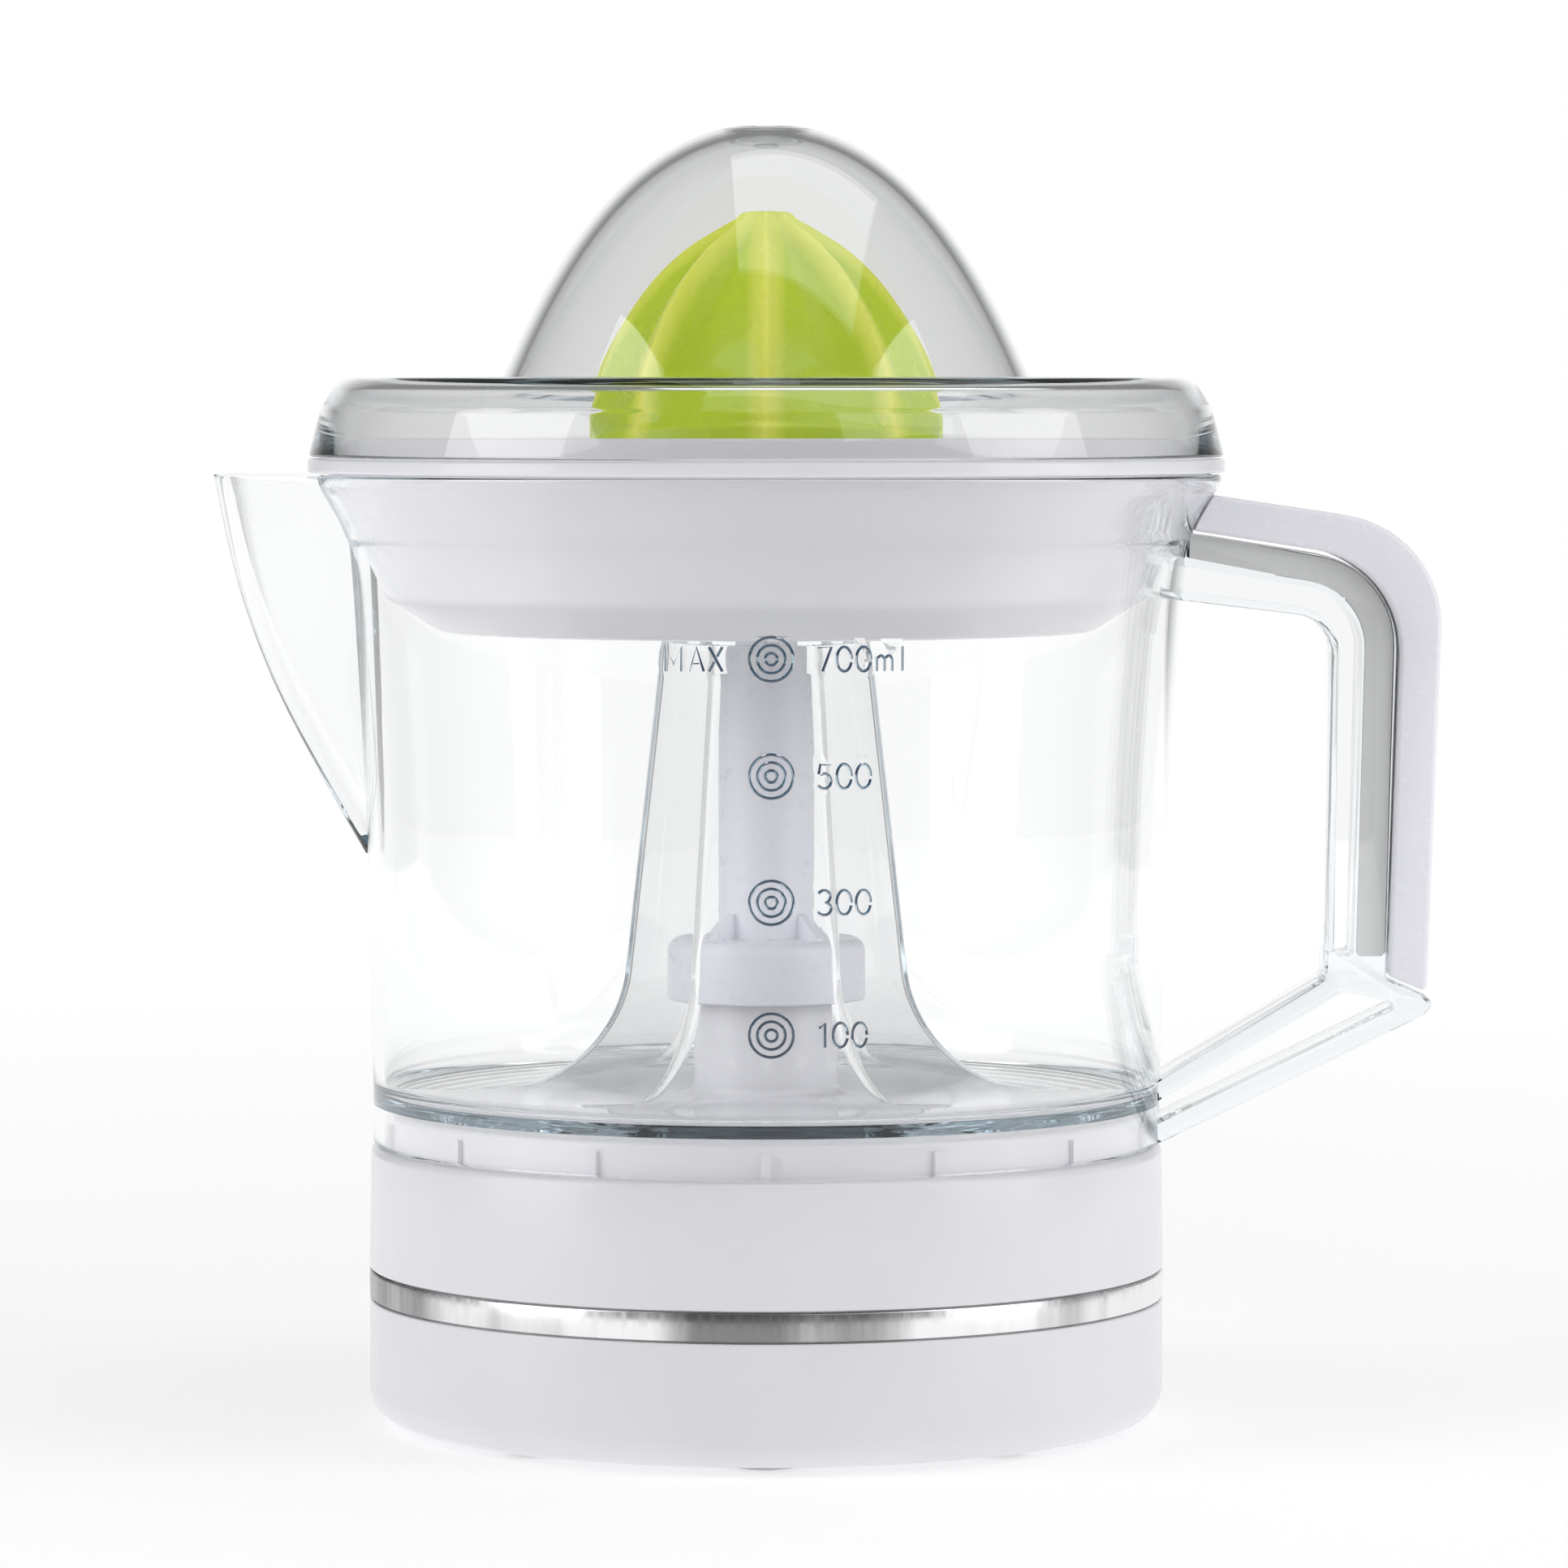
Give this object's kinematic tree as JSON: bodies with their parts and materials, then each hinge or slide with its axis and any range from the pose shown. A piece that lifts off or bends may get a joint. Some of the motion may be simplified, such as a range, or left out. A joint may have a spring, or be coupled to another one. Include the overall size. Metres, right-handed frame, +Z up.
{
  "type": "electric citrus press",
  "caption": "Clear jug with a spout and handle on a round white motor base, with a strainer, a ribbed green reamer and a clear domed cover.",
  "frame": {"origin": "middle of the juicer's length and width, on the table under its feet; the reamer's axis is at x = -9.35 mm", "axes": "+Z up, +X towards the handle, -X towards the spout, -Y the front that carries the volume marks"},
  "size_m": [0.1932, 0.1446, 0.2059],
  "materials": {
    "white_plastic": "moulded, semi-gloss",
    "clear_plastic": "clear, polished",
    "green_plastic": "moulded, semi-gloss",
    "lavender_plastic": "moulded, semi-gloss",
    "trim_steel": "brushed round the band",
    "steel": "plain",
    "lamination": "varnished sheet stack",
    "copper": "enamelled wire",
    "ferrite": "matt",
    "nylon": "matt",
    "acetal": "satin",
    "bronze": "sintered",
    "black_plastic": "matt",
    "rubber": "matt"
  },
  "bodies": {
    "base": {"base_housing": "white_plastic", "base_tray": "white_plastic", "trim_band": "trim_steel", "tray_screw_1": "steel", "tray_screw_2": "steel", "tray_screw_3": "steel", "tray_screw_4": "steel", "plate_screw_1": "steel", "plate_screw_2": "steel", "plate_screw_3": "steel", "gear_plate": "steel", "idler_axle": "steel", "motor_bracket_lower": "steel", "motor_bracket_upper": "steel", "motor_core": "lamination", "motor_coil_1": "copper", "motor_coil_2": "copper", "tower_bush": "bronze", "cord_gland": "black_plastic", "switch_body": "black_plastic", "foot_1": "rubber", "foot_2": "rubber", "foot_3": "rubber", "foot_4": "rubber"},
    "rotor": {"rotor": "ferrite"},
    "intermediate_gear": {"intermediate_gear": "nylon"},
    "output_gear": {"output_gear": "nylon", "return_spring": "steel"},
    "output_spindle": {"output_spindle": "steel"},
    "switch_lever": {"switch_lever": "steel"},
    "jug": {"jug_body": "clear_plastic", "jug_handle": "clear_plastic", "handle_cover": "white_plastic"},
    "shaft_bush": {"shaft_bush": "acetal"},
    "drive_shaft": {"drive_shaft": "lavender_plastic"},
    "reamer": {"reamer": "green_plastic"},
    "strainer": {"strainer": "white_plastic"},
    "lid": {"lid": "clear_plastic"}
  },
  "joints": [
    {"name": "rotor_spin", "type": "hinge", "parent": "base", "child": "rotor", "pos_m": [-0.0254, -0.03097, 0.016], "axis": [0, 0, 1], "continuous": true},
    {"name": "intermediate_spin", "type": "hinge", "parent": "base", "child": "intermediate_gear", "pos_m": [-0.0346, -0.0121, 0.036], "axis": [0, 0, 1], "continuous": true},
    {"name": "output_spin", "type": "hinge", "parent": "base", "child": "output_gear", "pos_m": [-0.00935, 0, 0.039], "axis": [0, 0, 1], "continuous": true},
    {"name": "spindle_press", "type": "slide", "parent": "output_gear", "child": "output_spindle", "axis": [0, 0, 1], "range_m": [-0.0025, 0], "stiffness_N_per_m": 1500, "springref_m": 0.003, "deforming": ["return_spring"]},
    {"name": "lever_tilt", "type": "hinge", "parent": "base", "child": "switch_lever", "pos_m": [0.01165, 0, 0.0198], "axis": [0, 1, 0], "range_deg": [-7, 0]},
    {"name": "jug_lift", "type": "slide", "parent": "base", "child": "jug", "axis": [0, 0, 1], "range_m": [0, 0.06]},
    {"name": "bush_spin", "type": "hinge", "parent": "jug", "child": "shaft_bush", "pos_m": [-0.00935, 0, 0.131], "axis": [0, 0, 1], "continuous": true},
    {"name": "shaft_press", "type": "slide", "parent": "shaft_bush", "child": "drive_shaft", "axis": [0, 0, 1], "range_m": [-0.0025, 0]},
    {"name": "strainer_lift", "type": "slide", "parent": "jug", "child": "strainer", "axis": [0, 0, 1], "range_m": [0, 0.1]},
    {"name": "reamer_lift", "type": "slide", "parent": "drive_shaft", "child": "reamer", "axis": [0, 0, 1], "range_m": [0, 0.1]},
    {"name": "lid_lift", "type": "slide", "parent": "strainer", "child": "lid", "axis": [0, 0, 1], "range_m": [0, 0.06]}
  ],
  "couplings": [
    {"joint": "intermediate_spin", "follows": "rotor_spin", "ratio": -0.16667},
    {"joint": "output_spin", "follows": "rotor_spin", "ratio": 0.027778},
    {"joint": "bush_spin", "follows": "rotor_spin", "ratio": 0.027778},
    {"joint": "shaft_press", "follows": "spindle_press", "ratio": 1},
    {"joint": "lever_tilt", "follows": "spindle_press", "rad_per_m": 47.619},
    {"joint": "reamer_lift", "follows": "strainer_lift", "ratio": 1}
  ]
}
